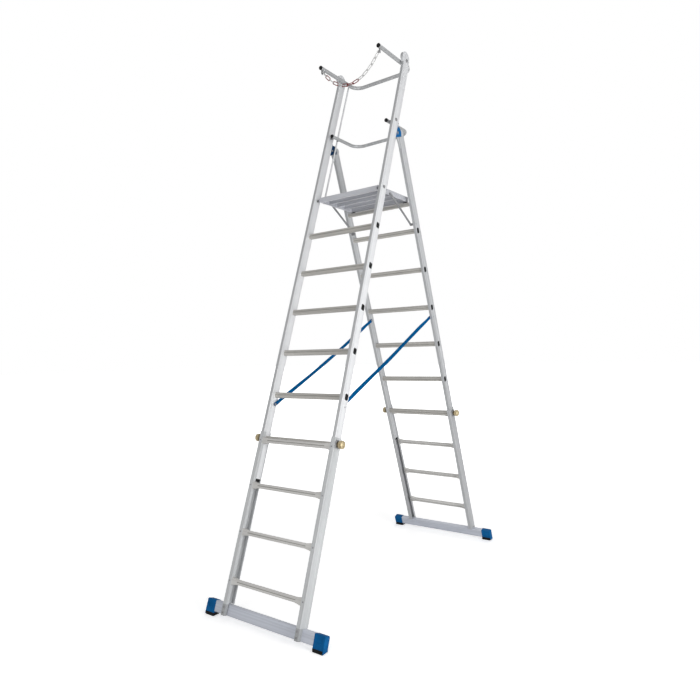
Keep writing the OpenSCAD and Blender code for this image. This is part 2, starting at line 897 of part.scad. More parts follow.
module low_rung() {
    half = low_rung_h / 2;
    flare_x = low_lip_x - flare_len;
    difference() {
        union() {
            x_prism(-low_lip_x, low_lip_x)
                round_box(low_rung_d, low_rung_h, low_rung_round);
            on_both()
                y_prism(-low_rung_d / 2, low_rung_d / 2)
                    polygon([
                        [flare_x, half], [low_lip_x, flare_h / 2], [low_lip_x, -flare_h / 2], [flare_x, -half]
                    ]);
        }
        x_prism(-low_lip_x - overrun, low_lip_x + overrun)
            round_box(low_rung_d - 2 * rung_wall, low_rung_h - 2 * rung_wall, low_rung_round - rung_wall);
        for (i = [0 : grip_count - 1])
            translate([0, (i - (grip_count - 1) / 2) * grip_pitch, half])
                x_prism(-flare_x, flare_x)
                    square([grip_w, 2 * grip_deep], center = true);
        for (y = [-low_rung_d / 2, low_rung_d / 2])
            translate([0, y, 0])
                x_prism(-flare_x, flare_x)
                    square([2 * side_deep, side_w], center = true);
    }
}

module lower_rungs(rear, first) {
    color("tan")
        in_leg(rear)
            for (k = [0 : low_rung_count - 1])
                translate([0, -low_rung_out, -first - k * low_pitch])
                    low_rung();
}

module rivets(rear, first) {
    color("gray")
        in_leg(rear)
            on_both()
                for (k = [0 : low_rung_count - 1])
                    translate([low_mid_x, -low_out_d / 2, -first - k * low_pitch])
                        rotate([90, 0, 0])
                            cylinder(r1 = rivet_r, r2 = rivet_r * rivet_top_share, h = rivet_h);
}

module brackets(rear) {
    color("gray")
        in_leg(rear)
            on_both()
                translate([lip_x, -low_in_d / 2, trav_bottom])
                    cube([frame_x - lip_x, trav_in, trav_h]);
}

module traverse_bolts(rear) {
    color("gray")
        in_leg(rear)
            on_both()
                for (z = [-trav_h / 4, trav_h / 4])
                    translate([low_mid_x, -low_out_d / 2, (trav_bottom + trav_top) / 2 + z])
                        rotate([90, 0, 0])
                            cylinder(d = bolt_flat, h = bolt_h, $fn = hex_sides);
}

// Feet
module trav_outline() {
    translate([trav_y, (trav_bottom + trav_top) / 2])
        round_box(trav_d, trav_h, trav_round);
}

module trav_bore() {
    translate([trav_y, (trav_bottom + trav_top) / 2])
        round_box(trav_d - 2 * trav_wall, trav_h - 2 * trav_wall, trav_round - trav_wall);
}

module traverse(rear) {
    color("silver")
        in_leg(rear)
            difference() {
                x_prism(-trav_x, trav_x)
                    trav_outline();
                x_prism(-trav_x - overrun, trav_x + overrun)
                    trav_bore();
            }
}

module shoe_outline() {
    foot = -leg_len - shoe_d;
    high = trav_top + shoe_rise;
    translate([trav_x, foot])
        square([shoe_len - shoe_round, high - foot]);
    translate([trav_x, foot])
        square([shoe_len, high - foot - shoe_round]);
    translate([trav_x + shoe_len - shoe_round, high - shoe_round])
        circle(shoe_round);
}

module dent_outline() {
    mid = trav_x + shoe_len / 2;
    translate([mid, (trav_bottom + trav_top) / 2]) {
        square([2 * (dent_x - dent_z), 2 * dent_z], center = true);
        for (s = [-1, 1])
            translate([s * (dent_x - dent_z), 0])
                circle(dent_z);
    }
}

module shoes(rear) {
    front = trav_y - shoe_d / 2;
    color("royalblue")
        on_both()
            intersection() {
                in_leg(rear)
                    difference() {
                        union() {
                            y_prism(front, front + shoe_d)
                                shoe_outline();
                            x_prism(trav_x - spigot_len, trav_x)
                                trav_bore();
                        }
                        y_prism(front - overrun, front + dent_deep)
                            dent_outline();
                    }
                union() {
                    translate([0, -leg_len, sole_t])
                        cube([leg_len, 2 * leg_len, leg_len]);
                    translate([trav_x + shoe_len - shoe_skirt, -leg_len, skirt_lift])
                        cube([leg_len, 2 * leg_len, leg_len]);
                }
            }
}

module soles(rear) {
    step = sole_w / (tread_count + 1);
    long = shoe_len - shoe_skirt;
    color("dimgray")
        mirror([0, rear ? 1 : 0, 0])
            on_both()
                translate([trav_x, sole_y - sole_w / 2, 0])
                    difference() {
                        cube([long, sole_w, sole_t]);
                        for (i = [1 : tread_count])
                            translate([-overrun, i * step - tread_w / 2, -overrun])
                                cube([long + 2 * overrun, tread_w, tread_deep + overrun]);
                    }
}

// Locks
module lock_housings(rear, first) {
    color("gray")
        in_leg(rear)
            on_both()
                translate([0, -lock_out, lock_up - first])
                    difference() {
                        x_prism(low_out_x, low_out_x + housing_t)
                            round_box(housing_w, housing_h, housing_round);
                        x_rod(stem_r + run_fit, low_in_x, low_out_x + housing_t + overrun);
                    }
}

module lock_knob(side, rear, first) {
    x0 = low_out_x + housing_t + pass_gap;
    neck = knob_len * knob_neck_len_share;
    taper = knob_len * knob_taper_share;
    color("goldenrod")
        on_side(side)
            in_leg(rear)
                translate([0, -lock_out, lock_up - first]) {
                    x_rod(stem_r, frame_x + pass_gap, x0);
                    x_rod(knob_r * knob_neck_share, x0, x0 + neck);
                    difference() {
                        translate([x0 + neck, 0, 0])
                            rotate([0, 90, 0]) {
                                cylinder(r1 = knob_r * knob_neck_share, r2 = knob_r, h = taper);
                                translate([0, 0, taper])
                                    cylinder(r = knob_r, h = knob_len - neck - 2 * taper);
                                translate([0, 0, knob_len - neck - taper])
                                    cylinder(r1 = knob_r, r2 = knob_r * knob_neck_share, h = taper);
                            }
                        for (i = [0 : flute_count - 1])
                            rotate([i * 360 / flute_count, 0, 0])
                                translate([0, knob_r + flute_r * (1 - flute_cut_share), 0])
                                    x_rod(flute_r, x0 + neck - overrun, x0 + knob_len + overrun);
                    }
                }
}

// Deck
module in_deck() {
    translate([0, deck_y, deck_z])
        children();
}

module deck_cheeks() {
    color("lightgray")
        in_deck()
            on_both()
                x_prism(deck_x - deck_cheek, deck_x)
                    difference() {
                        union() {
                            translate([0, -deck_under])
                                square([deck_len, deck_h]);
                            circle(deck_under);
                        }
                        circle(pin_r + run_fit);
                        translate([rod_back, 0])
                            circle(stud_r);
                    }
}

module plank_shape() {
    rib_step = plank_w / rib_count;
    difference() {
        square([plank_w, plank_h - rib_h]);
        translate([plank_wall, plank_wall])
            square([plank_w - 2 * plank_wall, plank_h - rib_h - 2 * plank_wall]);
        translate([plank_foot, -overrun])
            square([plank_w - 2 * plank_foot, plank_wall + 2 * overrun]);
    }
    for (i = [0 : rib_count - 1])
        translate([(i + 1 / 2) * rib_step - rib_w / 2, plank_h - rib_h - plank_wall / 2])
            square([rib_w, rib_h + plank_wall / 2]);
}

module deck_planks() {
    color("lightgray")
        in_deck()
            for (i = [0 : plank_count - 1])
                x_prism(deck_cheek - deck_x, deck_x - deck_cheek)
                    translate([edge_d + plank_gap + i * plank_step, deck_h - deck_under - plank_h])
                        plank_shape();
}

module deck_edges() {
    color("silver")
        in_deck()
            for (y = [edge_d / 2, deck_len - edge_d / 2])
                x_prism(deck_cheek - deck_x, deck_x - deck_cheek)
                    translate([y, deck_h / 2 - deck_under])
                        round_box(edge_d, deck_h, edge_round);
}

module link_stud(x_root) {
    x_rod(stud_r, x_root, rod_x + rod_t + pass_gap / 2);
    x_rod(stud_head_r, rod_x + rod_t + pass_gap / 2, rod_x + rod_t + pass_gap / 2 + stud_head_h);
}

module deck_studs() {
    color("gray")
        in_deck()
            on_both() {
                translate([0, rod_back, 0])
                    link_stud(deck_x - deck_cheek);
                translate([0, strut_back, -strut_low])
                    x_rod(strut_half, deck_x, strut_x - pass_gap);
            }
}

// Guard rails
module rail_path(x, r, front, back, bend, extra) {
    on_both() {
        translate([x, -front - extra, 0])
            rotate([-90, 0, 0])
                cylinder(r = r, h = front + extra + back - bend);
        translate([x - bend, back - bend, 0])
            rotate_extrude(angle = 90)
                translate([bend, 0])
                    circle(r);
    }
    translate([0, back, 0])
        x_rod(r, bend - x, x - bend);
}

module rail_tube(x, r, front, back, bend) {
    color("silver")
        difference() {
            rail_path(x, r, front, back, bend, 0);
            rail_path(x, r - tube_wall, front, back, bend, overrun);
            on_both() {
                x_rod(pin_r + run_fit, x - r - overrun, x + r + overrun);
                translate([0, rod_back, 0])
                    x_rod(stud_r, x, x + r + overrun);
            }
        }
}

module rail_caps(x, r, front) {
    color("dimgray")
        on_both()
            translate([x, -front, 0])
                rotate([90, 0, 0]) {
                    translate([0, 0, -cap_in])
                        cylinder(r = r - tube_wall, h = cap_in);
                    cylinder(r = r + cap_rim, h = cap_out / 2);
                    translate([0, 0, cap_out / 2])
                        cylinder(r1 = r + cap_rim, r2 = (r + cap_rim) * cap_end_share, h = cap_out / 2);
                }
}

module rail_studs(x) {
    color("gray")
        on_both()
            translate([0, rod_back, 0])
                link_stud(x);
}

module in_top() {
    translate([0, top_y, top_z])
        children();
}

module in_knee() {
    translate([0, knee_y, knee_z])
        children();
}

module top_rail_tube() {
    in_top()
        rail_tube(top_x, top_r, top_front, top_back, top_bend);
}

module knee_rail_tube() {
    in_knee()
        rail_tube(knee_x, knee_r, knee_front, knee_back, knee_bend);
}

// Chain and the lugs that carry it
module chain_lugs() {
    color("gray")
        in_top()
            on_both()
                translate([0, chain_y, 0])
                    difference() {
                        union() {
                            translate([top_x - lug_t / 2, -lug_half, hook_z - lug_half])
                                cube([lug_t, 2 * lug_half, lug_half - hook_z]);
                            translate([0, 0, hook_z]) {
                                x_rod(hook_r, top_x - hook_len, top_x - lug_t / 2);
                                x_rod(hook_head_r, top_x - hook_len - lug_t / 2, top_x - hook_len);
                            }
                        }
                        translate([top_x, -lug_half - overrun, 0])
                            rotate([-90, 0, 0])
                                cylinder(r = top_r, h = 2 * lug_half + 2 * overrun);
                    }
}

module chain_link() {
    for (s = [-1, 1]) {
        translate([0, s * link_arc_r, 0])
            x_rod(wire_r, -link_bar / 2, link_bar / 2);
        translate([s * link_bar / 2, 0, 0])
            rotate([0, 0, -90 * s])
                rotate_extrude(angle = 180)
                    translate([link_arc_r, 0])
                        circle(wire_r);
    }
}

module chain_run(links) {
    in_top()
        translate([0, chain_y, 0])
            for (i = links)
                translate([link_x(i), 0, link_z(i)])
                    rotate([0, -link_turn(i), 0])
                        rotate([i % 2 == 0 ? 0 : 90, 0, 0])
                            chain_link();
}

// Links between the rails, the deck and the rear leg
module link_rods() {
    color("silver")
        translate([0, deck_y + rod_back, deck_z])
            rotate([-lean, 0, 0])
                on_both()
                    x_prism(rod_x, rod_x + rod_t)
                        difference() {
                            union() {
                                translate([-rod_half, 0])
                                    square([2 * rod_half, rod_len]);
                                for (z = [0, rod_len])
                                    translate([0, z])
                                        circle(rod_half);
                            }
                            for (z = [0, deck_l - knee_l, rod_len])
                                translate([0, z])
                                    circle(stud_r + run_fit);
                        }
}

module deck_struts() {
    color("silver")
        on_both()
            translate([0, strut_y, strut_z])
                rotate([strut_turn, 0, 0]) {
                    x_prism(strut_x, strut_x + strut_t)
                        difference() {
                            union() {
                                translate([-strut_len, -strut_half])
                                    square([strut_len, 2 * strut_half]);
                                for (y = [0, -strut_len])
                                    translate([y, 0])
                                        circle(strut_half);
                            }
                            circle(pin_r + run_fit);
                        }
                    translate([0, -strut_len, 0])
                        x_rod(stud_head_r, strut_x + strut_t, strut_x + strut_t + stud_head_h);
                }
}

module rest_bar() {
    color("tan")
        translate([0, rest_y, rest_top - rest_h / 2])
            x_prism(-lip_x, lip_x)
                difference() {
                    round_box(rest_d, rest_h, rest_round);
                    round_box(rest_d - 2 * rung_wall, rest_h - 2 * rung_wall, rest_round - rung_wall);
                }
}

module rest_pads() {
    color("dimgray")
        on_both()
            translate([deck_x - pad_len, rest_y - rest_d / 2 + rest_round, rest_top])
                cube([pad_len, rest_d - 2 * rest_round, pad_t]);
}

front_stile(-1);  // front_stile_left
front_stile(1);  // front_stile_right
upper_rungs(false, front_rung_l);  // front_rungs
rung_plugs(false, front_rung_l);  // front_rung_plugs
stile_plugs(false, front_run);  // front_plugs
hinge_blocks();
pivot_bolts();
pivot_spacers();
front_strap_studs();
strap(-1);  // strap_left
strap(1);  // strap_right
outer_stile(-1, false, front_low_first);  // front_outer_left
outer_stile(1, false, front_low_first);  // front_outer_right
lower_rungs(false, front_low_first);  // front_lower_rungs
traverse(false);  // front_traverse
shoes(false);  // front_shoes
soles(false);  // front_soles
lock_housings(false, front_low_first);  // front_lock_housings
rivets(false, front_low_first);  // front_rivets
brackets(false);  // front_brackets
traverse_bolts(false);  // front_bolts
rear_stile(-1);  // rear_stile_left
rear_stile(1);  // rear_stile_right
upper_rungs(true, rear_rung_l);  // rear_rungs
rung_plugs(true, rear_rung_l);  // rear_rung_plugs
stile_plugs(true, rear_run);  // rear_plugs
hinge_tongues();
rest_bar();
rest_pads();
rear_studs();
outer_stile(-1, true, rear_low_first);  // rear_outer_left
outer_stile(1, true, rear_low_first);  // rear_outer_right
lower_rungs(true, rear_low_first);  // rear_lower_rungs
traverse(true);  // rear_traverse
shoes(true);  // rear_shoes
soles(true);  // rear_soles
lock_housings(true, rear_low_first);  // rear_lock_housings
rivets(true, rear_low_first);  // rear_rivets
brackets(true);  // rear_brackets
traverse_bolts(true);  // rear_bolts
deck_cheeks();
deck_planks();
deck_edges();
deck_studs();
top_rail_tube();
in_top() rail_caps(top_x, top_r, top_front);  // top_rail_caps
in_top() rail_studs(top_x);  // top_rail_studs
chain_lugs();
knee_rail_tube();
in_knee() rail_caps(knee_x, knee_r, knee_front);  // knee_rail_caps
in_knee() rail_studs(knee_x);  // knee_rail_studs
color("darkred") chain_run(dark_links);  // chain_dark
color("gainsboro") chain_run(pale_links);  // chain_pale
link_rods();
deck_struts();
lock_knob(-1, false, front_low_first);  // lock_front_left
lock_knob(1, false, front_low_first);  // lock_front_right
lock_knob(-1, true, rear_low_first);  // lock_rear_left
lock_knob(1, true, rear_low_first);  // lock_rear_right
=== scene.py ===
import json
import math

import bmesh
import bpy
from mathutils import Matrix, Vector

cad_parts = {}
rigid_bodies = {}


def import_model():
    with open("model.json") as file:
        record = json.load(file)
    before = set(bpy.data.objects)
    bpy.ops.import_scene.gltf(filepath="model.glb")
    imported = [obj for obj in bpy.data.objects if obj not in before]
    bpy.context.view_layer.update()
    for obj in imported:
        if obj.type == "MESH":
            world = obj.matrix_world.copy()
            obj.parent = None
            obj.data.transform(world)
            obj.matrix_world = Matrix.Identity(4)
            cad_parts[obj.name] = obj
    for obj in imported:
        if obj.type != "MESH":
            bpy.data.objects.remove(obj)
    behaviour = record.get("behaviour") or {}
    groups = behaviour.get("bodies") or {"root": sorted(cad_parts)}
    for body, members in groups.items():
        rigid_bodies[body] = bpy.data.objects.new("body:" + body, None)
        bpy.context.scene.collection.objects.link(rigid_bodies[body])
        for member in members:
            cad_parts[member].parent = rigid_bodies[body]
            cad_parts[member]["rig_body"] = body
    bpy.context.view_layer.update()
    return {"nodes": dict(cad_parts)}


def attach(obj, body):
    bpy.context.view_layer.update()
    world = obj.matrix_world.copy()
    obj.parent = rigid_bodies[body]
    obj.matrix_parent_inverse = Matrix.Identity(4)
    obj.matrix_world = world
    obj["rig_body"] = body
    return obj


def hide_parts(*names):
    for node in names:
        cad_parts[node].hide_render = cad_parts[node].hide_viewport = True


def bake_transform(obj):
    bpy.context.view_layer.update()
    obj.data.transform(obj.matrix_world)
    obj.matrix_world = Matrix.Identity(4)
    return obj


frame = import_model()
NODES = frame["nodes"]
scene = bpy.context.scene

# Sizes shared with the CAD model, in metres; lengths along a leg run down from the apex
LEAN = math.radians(19.25)
LEG_LEN = 3.520
APEX = LEG_LEN * math.cos(LEAN)
STILE_D, FRAME_X = 0.0665, 0.305
STRAP_X, STRAP_T, STRAP_HALF = 0.276, 0.002, 0.0125
STRAP_FRONT_L, STRAP_REAR_L, STRAP_IN = 2.165, 1.518, 0.012

# The two legs, and whether each is the rear one
LEGS = (("front", False), ("rear", True))


def on_leg(length, inward=0.0, rear=False, x=0.0):
    """A point on a leg: length down from the apex, inward toward the other leg."""
    y = -length * math.sin(LEAN) + inward * math.cos(LEAN)
    z = APEX - length * math.cos(LEAN) - inward * math.sin(LEAN)
    return Vector((x, -y if rear else y, z))


# Camera at the photograph's viewing angle
CAMERA_AT = (2.4286, -3.5855, 1.585)
CAMERA_RIGHT = (0.8111, 0.5846, -0.0201)
CAMERA_FORWARD = (-0.5845, 0.8114, 0.0117)
LENS, SENSOR, CLIP_END = 29.94, 36.0, 200.0


def make_camera():
    right = Vector(CAMERA_RIGHT).normalized()
    forward = Vector(CAMERA_FORWARD)
    forward = (forward - right * forward.dot(right)).normalized()
    up = right.cross(forward)
    data = bpy.data.cameras.new("camera")
    data.lens = LENS
    data.sensor_width = SENSOR
    data.sensor_fit = "HORIZONTAL"
    data.clip_end = CLIP_END
    camera = bpy.data.objects.new("camera", data)
    scene.collection.objects.link(camera)
    stand = Matrix((right, up, -forward)).transposed().to_4x4()
    stand.translation = Vector(CAMERA_AT)
    camera.matrix_world = stand
    scene.camera = camera


make_camera()


# Shader helpers; the colour sockets of a Mix node are reached by number
MIX_A, MIX_B, MIX_RESULT = 6, 7, 2


class Mat:
    """A node material with a Principled shader and short calls for its textures."""

    def __init__(self, name):
        self.mat = bpy.data.materials.new(name)
        self.mat.use_nodes = True
        self.tree = self.mat.node_tree
        self.bsdf = self.tree.nodes["Principled BSDF"]
        self.coord = self.tree.nodes.new("ShaderNodeTexCoord")

    def new(self, kind, **values):
        """A node; values that start with in_ go to its input sockets, the others to its settings."""
        node = self.tree.nodes.new(kind)
        for key, value in values.items():
            if key.startswith("in_"):
                node.inputs[key[3:].replace("_", " ")].default_value = value
            else:
                setattr(node, key, value)
        return node

    def link(self, a, b):
        self.tree.links.new(a, b)

    def place(self, turn=(0, 0, 0), size=(1, 1, 1)):
        """Object coordinates turned first and then divided by size, so long sizes stretch a texture."""
        node = self.new("ShaderNodeMapping", vector_type="TEXTURE")
        node.inputs["Rotation"].default_value = turn
        node.inputs["Scale"].default_value = size
        self.link(self.coord.outputs["Object"], node.inputs["Vector"])
        return node.outputs["Vector"]

    def split(self, vector):
        """The X, Y and Z outputs of a vector."""
        node = self.new("ShaderNodeSeparateXYZ")
        self.link(vector, node.inputs["Vector"])
        return node.outputs

    def noise(self, vector, scale, detail, rough):
        node = self.new("ShaderNodeTexNoise", in_Scale=scale, in_Detail=detail, in_Roughness=rough)
        self.link(vector, node.inputs["Vector"])
        return node.outputs["Fac"]

    def streaks(self, turn, size, detail, rough):
        """Noise in a turned frame, stretched to size along each axis."""
        return self.noise(self.place(turn, size), 1.0, detail, rough)

    def ramp(self, value, low, high, start=0.3, stop=0.7):
        """Runs from low, where value is at start, to high, where it is at stop."""
        node = self.new("ShaderNodeMapRange")
        node.inputs["From Min"].default_value = start
        node.inputs["From Max"].default_value = stop
        node.inputs["To Min"].default_value = low
        node.inputs["To Max"].default_value = high
        self.link(value, node.inputs["Value"])
        return node.outputs["Result"]

    def mix(self, share, a, b):
        node = self.new("ShaderNodeMix", data_type="RGBA", blend_type="MIX")
        self.link(share, node.inputs["Factor"])
        for index, value in ((MIX_A, a), (MIX_B, b)):
            if isinstance(value, tuple):
                node.inputs[index].default_value = (*value, 1.0)
            else:
                self.link(value, node.inputs[index])
        return node.outputs[MIX_RESULT]

    def stain(self, tone, value, colour, amount, start=0.3, stop=0.7):
        """Lays a colour over a tone: none of it where value is at start, amount of it at stop."""
        return self.mix(self.ramp(value, 0.0, amount, start, stop), tone, colour)

    def math(self, kind, a, b=0.0):
        node = self.new("ShaderNodeMath", operation=kind)
        for socket, value in zip(node.inputs, (a, b)):
            if isinstance(value, (int, float)):
                socket.default_value = value
            else:
                self.link(value, socket)
        return node.outputs["Value"]

    def facing(self, way):
        """How far a face looks along a direction fixed to the piece, from -1 to 1."""
        node = self.new("ShaderNodeVectorMath", operation="DOT_PRODUCT")
        self.link(self.coord.outputs["Normal"], node.inputs[0])
        node.inputs[1].default_value = way
        return node.outputs["Value"]

    def bump(self, height, strength, distance, under=None):
        node = self.new("ShaderNodeBump", in_Strength=strength, in_Distance=distance)
        self.link(height, node.inputs["Height"])
        if under is not None:
            self.link(under, node.inputs["Normal"])
        return node.outputs["Normal"]

    def set(self, **values):
        """Sets or links inputs of the Principled shader, with spaces in their names as underscores."""
        for key, value in values.items():
            socket = self.bsdf.inputs[key.replace("_", " ")]
            if isinstance(value, tuple):
                socket.default_value = (*value, 1.0)
            elif isinstance(value, (int, float)):
                socket.default_value = value
            else:
                self.link(value, socket)
        return self.mat


def shade(colour, share, lift=0.0):
    """A colour scaled and lifted, no brighter than white."""
    return tuple(min(1.0, c * share + lift) for c in colour)


def stretched(across, along, axis):
    """Texture sizes that differ along one axis."""
    sizes = [across, across, across]
    sizes[axis] = along
    return tuple(sizes)


# How metal was drawn: a turn that brings the leg upright, and the axis of the draw lines
X_AXIS, Y_AXIS, Z_AXIS = 0, 1, 2
LEVEL = (0.0, 0.0, 0.0)
DOWN_FRONT = ((-LEAN, 0.0, 0.0), Z_AXIS)
DOWN_REAR = ((LEAN, 0.0, 0.0), Z_AXIS)
ACROSS = (LEVEL, X_AXIS)
FORE_AFT = (LEVEL, Y_AXIS)

# Painted light and shade on the faces of a profile square to a direction, tinted by a colour and its
# share: painted shade on the flanges, painted light on the webs and on the deck's level faces.
# SQUARE_ON holds the cosines between which the tint sets in
PAINTED_SHADE, PAINTED_LIGHT = (0.20, 0.20, 0.21), (0.98, 0.98, 1.0)
FRONT_FLANGE_SHADE = ((0.0, -math.cos(LEAN), math.sin(LEAN)), PAINTED_SHADE, 0.36)
REAR_FLANGE_SHADE = ((0.0, -math.cos(LEAN), -math.sin(LEAN)), PAINTED_SHADE, 0.30)
WEB_FACE_LIGHT = ((1.0, 0.0, 0.0), PAINTED_LIGHT, 0.40)
DECK_FACE_LIGHT = ((0.0, 0.0, -1.0), PAINTED_LIGHT, 0.50)
SQUARE_ON = (0.70, 0.92)

# The foot of a lower stile is darker from this length along the leg down; FOOT_END is its turned height
FOOT_FROM = 3.427
FOOT_END = APEX * math.cos(LEAN) - FOOT_FROM
FOOT_BLUR = 0.001

# Texture sizes of drawn metal, across and along the draw lines, in metres
FINE_LINE, DECK_LINE, RUNG_LINE, LINE_RUN = 0.0012, 0.0020, 0.0022, 0.9
CLOUD_ACROSS, CLOUD_RUN = 0.05, 0.5
BAND_ACROSS, BAND_RUN = 0.014, 2.5
SCUFF_SIZE = (0.02, 0.02, 0.004)
SPECK_SCALE = 260.0


def drawn_metal(name, light, dark, drawn, metallic, rough, line=FINE_LINE, wear=0.5, faces=(), foot=None):
    """Extruded metal: cloudy oxide, bands, draw lines, small scuffs and specks.

    The faces named in faces get painted light and shade, and the metal below the height foot is darker.
    """
    m = Mat(name)
    turn, axis = drawn
    cloud = m.streaks(turn, stretched(CLOUD_ACROSS, CLOUD_RUN, axis), detail=3.0, rough=0.6)
    bands = m.streaks(turn, stretched(BAND_ACROSS, BAND_RUN, axis), detail=2.0, rough=0.5)
    lines = m.streaks(turn, stretched(line, LINE_RUN, axis), detail=4.0, rough=0.6)
    scuff = m.streaks(turn, SCUFF_SIZE, detail=5.0, rough=0.75)
    speck = m.noise(m.place(), SPECK_SCALE, detail=2.0, rough=0.7)
    tone = m.stain(dark, cloud, light, 1.0, start=0.25, stop=0.75)
    tone = m.stain(tone, bands, shade(dark, 0.74), 0.60, start=0.40, stop=0.66)
    tone = m.stain(tone, lines, shade(dark, 0.70), 0.34, start=0.35, stop=0.75)
    tone = m.stain(tone, scuff, shade(light, 1.1), wear, start=0.62, stop=0.82)
    tone = m.stain(tone, speck, shade(dark, 0.55), 0.25, start=0.66, stop=0.85)
    if foot is not None:
        # Darker below the height foot
        height = m.split(m.place(turn))["Z"]
        tone = m.stain(tone, height, shade(dark, 0.45), 0.55, foot + FOOT_BLUR, foot - FOOT_BLUR)
    # Painted light and shade on the faces square to a direction
    for way, colour, amount in faces:
        tone = m.stain(tone, m.math("ABSOLUTE", m.facing(way)), colour, amount, *SQUARE_ON)
    gloss = m.math("ADD", m.ramp(lines, rough - 0.06, rough + 0.08), m.ramp(cloud, -0.05, 0.06))
    grooved = m.bump(lines, strength=0.16, distance=0.0005)
    normal = m.bump(speck, strength=0.05, distance=0.0004, under=grooved)
    return m.set(Base_Color=tone, Metallic=metallic, Roughness=gloss, Normal=normal)


FLOW_SCALE, RUB_SCALE = 14.0, 55.0
TO_THE_LEFT = (-1.0, 0.0, 0.0)


def plastic(name, light, dark, rough, grain, coat=0.0, shine=0.35, inward_shade=None):
    """Moulded plastic: faint flow clouds, rubbed pale spots and fine grain.

    A colour given for the inward faces paints shade on the faces that look toward the middle of the
    ladder.
    """
    m = Mat(name)
    at = m.place()
    cloud = m.noise(at, FLOW_SCALE, detail=3.0, rough=0.6)
    rub = m.noise(at, RUB_SCALE, detail=5.0, rough=0.75)
    pores = m.noise(at, grain, detail=2.0, rough=0.6)
    tone = m.stain(dark, cloud, light, 1.0)
    tone = m.stain(tone, rub, shade(light, 1.4, 0.006), 0.3, start=0.62, stop=0.82)
    # Painted shade on the faces that look toward the middle of the ladder
    if inward_shade:
        side = m.math("SIGN", m.split(at)["X"])
        inward = m.math("MULTIPLY", m.facing(TO_THE_LEFT), side)
        tone = m.stain(tone, inward, inward_shade, 0.85, *SQUARE_ON)
    gloss = m.math("ADD", m.ramp(pores, rough - 0.05, rough + 0.07), m.ramp(rub, 0.0, 0.08))
    normal = m.bump(pores, strength=0.22, distance=0.0006)
    return m.set(
        Base_Color=tone, Roughness=gloss, Normal=normal, Coat_Weight=coat, Specular_IOR_Level=shine,
    )


RIB_PITCH, PICK_PITCH = 0.0026, 0.0030
WEB_LOW, WEB_HIGH = (0.001, 0.058, 0.175), (0.002, 0.138, 0.370)
WEB_FADED, WEB_EDGE = (0.001, 0.090, 0.262), (0.001, 0.040, 0.125)
FADE_SCALE, FUZZ_SCALE = 9.0, 900.0


def webbing_material():
    """Woven strap: ribs along and picks across the band from its own UVs, faded patches, darker edges."""
    m = Mat("webbing_woven")
    uv = m.split(m.coord.outputs["UV"])
    ribs = m.math("SINE", m.math("MULTIPLY", uv["X"], 2 * math.pi / RIB_PITCH))
    shift = m.math("MULTIPLY", m.math("SIGN", ribs), 0.5 * math.pi)
    phase = m.math("ADD", m.math("MULTIPLY", uv["Y"], 2 * math.pi / PICK_PITCH), shift)
    picks = m.math("ADD", m.math("MULTIPLY", m.math("SINE", phase), 0.5), 0.5)
    weave = m.math("MULTIPLY", m.math("ABSOLUTE", ribs), picks)
    fade = m.noise(m.place(), FADE_SCALE, detail=4.0, rough=0.6)
    fuzz = m.noise(m.place(), FUZZ_SCALE, detail=2.0, rough=0.6)
    edge = m.math("ABSOLUTE", m.math("DIVIDE", uv["X"], STRAP_HALF))
    tone = m.stain(WEB_LOW, weave, WEB_HIGH, 1.0, start=0.0, stop=0.8)
    tone = m.stain(tone, fade, WEB_FADED, 0.45)
    tone = m.stain(tone, edge, WEB_EDGE, 0.6, start=0.80, stop=1.0)
    woven = m.bump(weave, strength=0.55, distance=0.0007)
    normal = m.bump(fuzz, strength=0.15, distance=0.0003, under=woven)
    return m.set(Base_Color=tone, Roughness=0.9, Normal=normal, Specular_IOR_Level=0.0)


# Distances from the middle of the ladder between which the darkening of a knob's neck ends
NECK_DARK, NECK_PLAIN = 0.324, 0.336
BRASS_DARK, BRASS_LIGHT = (0.50, 0.405, 0.235), (0.64, 0.535, 0.33)
HAND_DIRT, NECK_TONE = (0.20, 0.145, 0.07), (0.075, 0.052, 0.026)
TURNED_SIZE = (0.0008, 0.2, 0.2)
BLOTCH_SCALE, PORE_SCALE = 65.0, 700.0


def knob_material():
    """Worn yellow knob: turning lines, blotches of handling dirt and a dark neck."""
    m = Mat("worn_brass")
    reach = m.math("ABSOLUTE", m.split(m.place())["X"])
    lines = m.streaks(LEVEL, TURNED_SIZE, detail=3.0, rough=0.6)
    blotch = m.noise(m.place(), BLOTCH_SCALE, detail=4.0, rough=0.65)
    pores = m.noise(m.place(), PORE_SCALE, detail=2.0, rough=0.6)
    tone = m.stain(BRASS_DARK, lines, BRASS_LIGHT, 1.0)
    tone = m.stain(tone, blotch, HAND_DIRT, 0.75, start=0.48, stop=0.68)
    # Darker at the neck, toward the middle of the ladder
    tone = m.stain(tone, reach, NECK_TONE, 0.80, NECK_PLAIN, NECK_DARK)
    gloss = m.math("ADD", m.ramp(blotch, 0.34, 0.50), m.ramp(pores, -0.04, 0.04))
    turned = m.bump(lines, strength=0.12, distance=0.0004)
    normal = m.bump(pores, strength=0.10, distance=0.0004, under=turned)
    return m.set(Base_Color=tone, Metallic=0.35, Roughness=gloss, Normal=normal)


